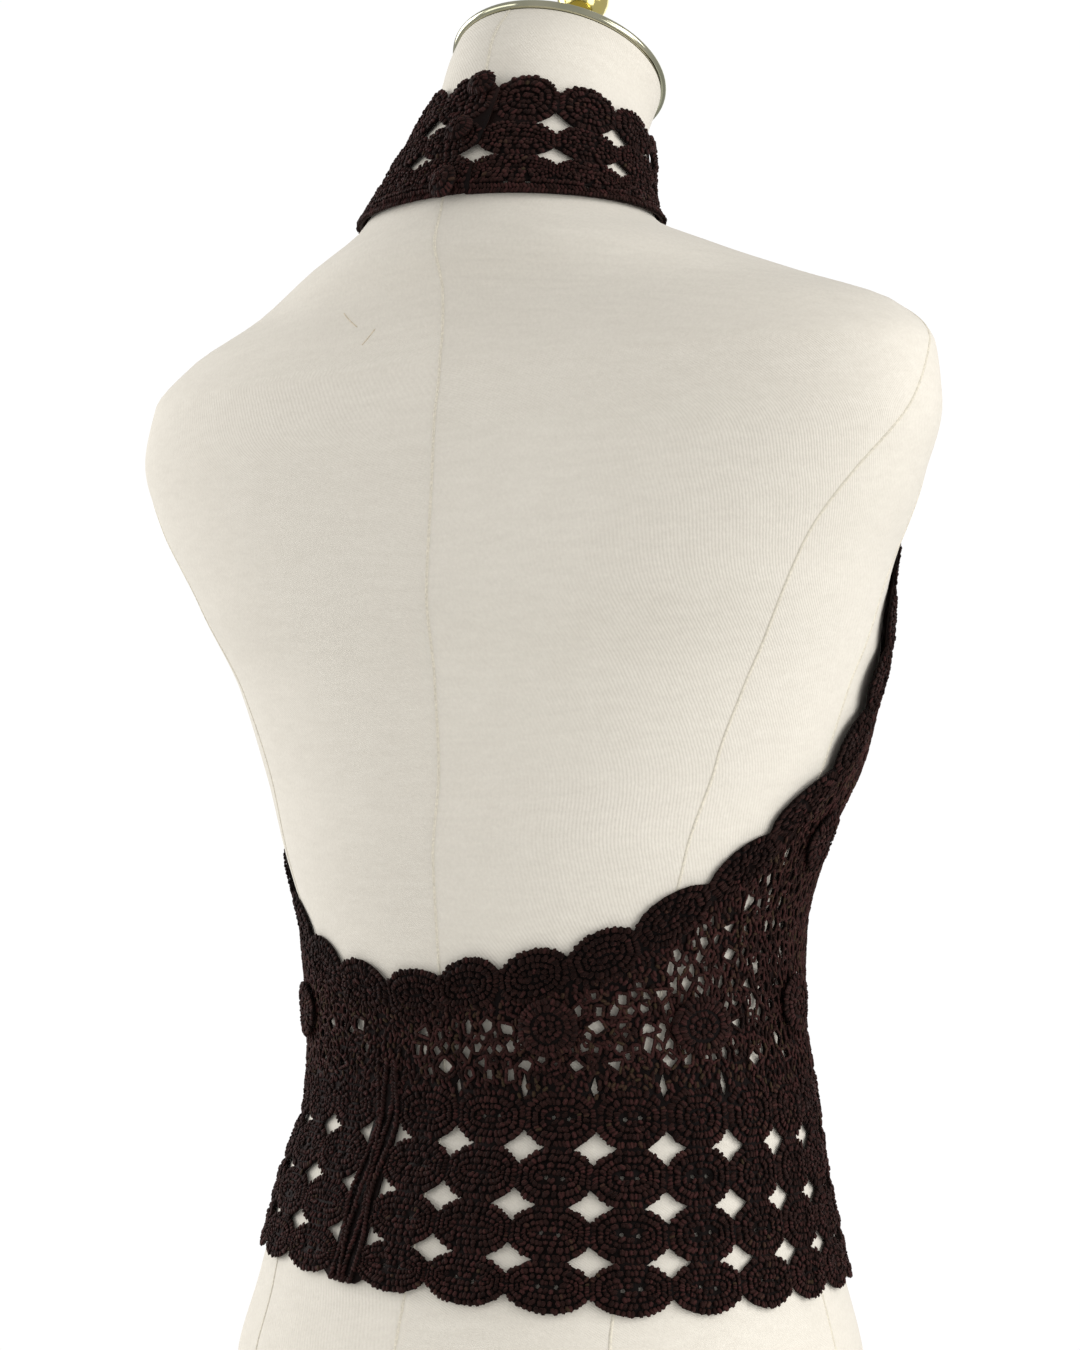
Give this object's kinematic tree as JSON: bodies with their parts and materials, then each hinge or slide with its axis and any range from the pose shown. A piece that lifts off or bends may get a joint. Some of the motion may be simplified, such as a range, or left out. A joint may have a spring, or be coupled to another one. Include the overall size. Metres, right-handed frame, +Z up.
{
  "type": "crochet halter top on limbless dress form",
  "caption": "Backless crochet halter top of oval motifs, open net, raised rosettes and a buttoned collar, worn by a limbless padded dress form with a metal neck cap.",
  "frame": {"origin": "on the standing surface, under the middle of the whole object's box", "axes": "+Z up the dress form, -Y out of the front, -X towards the wearer's right"},
  "size_m": [0.42, 0.2637, 0.7265],
  "materials": {
    "form_cover": "undyed ecru cotton twill, panel seams sewn with matching thread",
    "neck_metal": "polished",
    "crochet_yarn": "dark chocolate crocheted cord, matt with a faint fleck"
  },
  "bodies": {
    "root": {"form_torso": "form_cover", "neck_plate": "neck_metal", "neck_ring": "neck_metal", "finial": "neck_metal", "back_panel": "crochet_yarn", "front_panel": "crochet_yarn", "collar_right": "crochet_yarn", "collar_left": "crochet_yarn", "rosette_01": "crochet_yarn", "rosette_02": "crochet_yarn", "rosette_03": "crochet_yarn", "rosette_04": "crochet_yarn", "rosette_05": "crochet_yarn", "rosette_06": "crochet_yarn", "rosette_07": "crochet_yarn", "rosette_08": "crochet_yarn", "rosette_09": "crochet_yarn", "rosette_10": "crochet_yarn", "rosette_11": "crochet_yarn", "rosette_12": "crochet_yarn", "rosette_13": "crochet_yarn", "rosette_14": "crochet_yarn", "rosette_15": "crochet_yarn", "rosette_16": "crochet_yarn", "rosette_17": "crochet_yarn", "rosette_18": "crochet_yarn", "rosette_19": "crochet_yarn", "rosette_20": "crochet_yarn", "collar_button_1": "crochet_yarn", "collar_button_2": "crochet_yarn", "collar_button_3": "crochet_yarn"}
  },
  "joints": []
}
